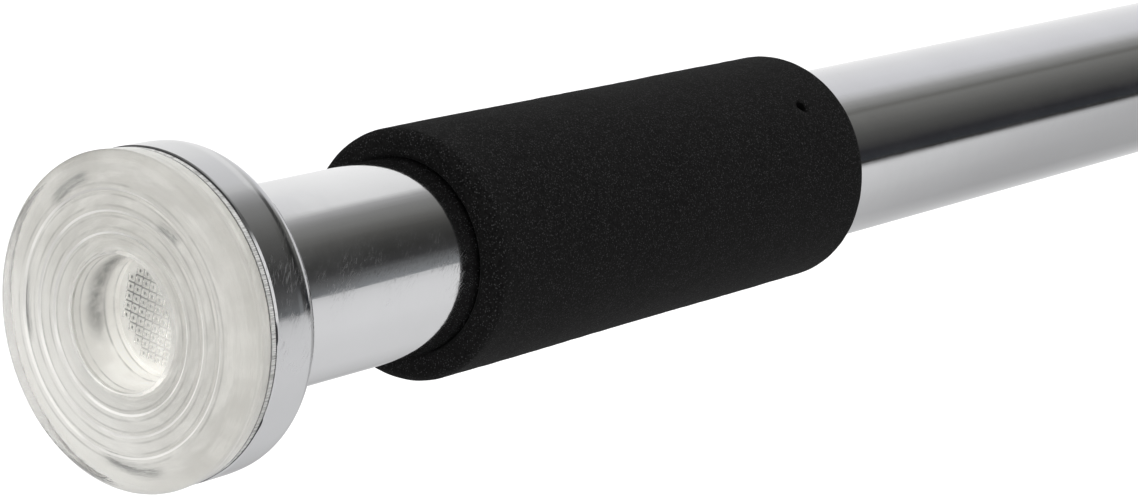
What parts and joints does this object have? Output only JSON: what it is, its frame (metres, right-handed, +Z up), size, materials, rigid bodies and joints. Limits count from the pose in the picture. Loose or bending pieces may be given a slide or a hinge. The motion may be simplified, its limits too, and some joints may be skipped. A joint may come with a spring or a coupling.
{
  "type": "pull up bar",
  "caption": "Telescopic doorway pull up bar: chromed tube with black foam grips, an inner tube driven out by a screw, and a clear soft pad in a chromed cup on each end.",
  "frame": {"origin": "centre of the near pad's outer face, where it presses on the door jamb", "axes": "+X along the bar from the near pad to the far pad, +Y and +Z across it, +Z up when the bar is level in a doorway"},
  "size_m": [0.62, 0.0508, 0.0508],
  "materials": {
    "chrome_steel": "polished chrome plate with fine handling marks",
    "clear_vinyl": "clear soft vinyl, glossy, slightly smoky",
    "black_foam": "matte closed-cell foam with a fine grain",
    "zinc_steel": "bright zinc plate",
    "bare_steel": "turned steel, lightly oiled",
    "brass": "turned brass, satin",
    "black_plastic": "moulded plastic, satin",
    "white_nylon": "moulded nylon, satin"
  },
  "bodies": {
    "near_end": {"near_pad": "clear_vinyl", "near_cup": "chrome_steel", "pivot_pin": "zinc_steel", "thrust_washer": "brass", "lock_washer": "zinc_steel", "lock_nut": "zinc_steel"},
    "outer_bar": {"outer_tube": "chrome_steel", "pivot_plug": "bare_steel", "screw_plug": "bare_steel", "lead_screw": "zinc_steel", "cross_pin": "zinc_steel", "stop_washer": "zinc_steel", "stop_nut": "zinc_steel", "mouth_bush": "black_plastic", "near_grip": "black_foam", "far_grip": "black_foam"},
    "inner_bar": {"inner_tube": "chrome_steel", "travel_nut": "brass", "guide_ring": "white_nylon", "far_plug": "bare_steel", "far_bolt": "zinc_steel", "far_cup": "chrome_steel", "far_pad": "clear_vinyl"}
  },
  "joints": [
    {"name": "tube_twist", "type": "hinge", "parent": "near_end", "child": "outer_bar", "pos_m": [0, 0, 0], "axis": [-1, 0, 0], "range_deg": [0, 34200]},
    {"name": "tube_slide", "type": "slide", "parent": "near_end", "child": "inner_bar", "axis": [1, 0, 0], "range_m": [0, 0.38]}
  ],
  "couplings": [
    {"joint": "tube_slide", "follows": "tube_twist", "m_per_rad": 0.00063662}
  ]
}
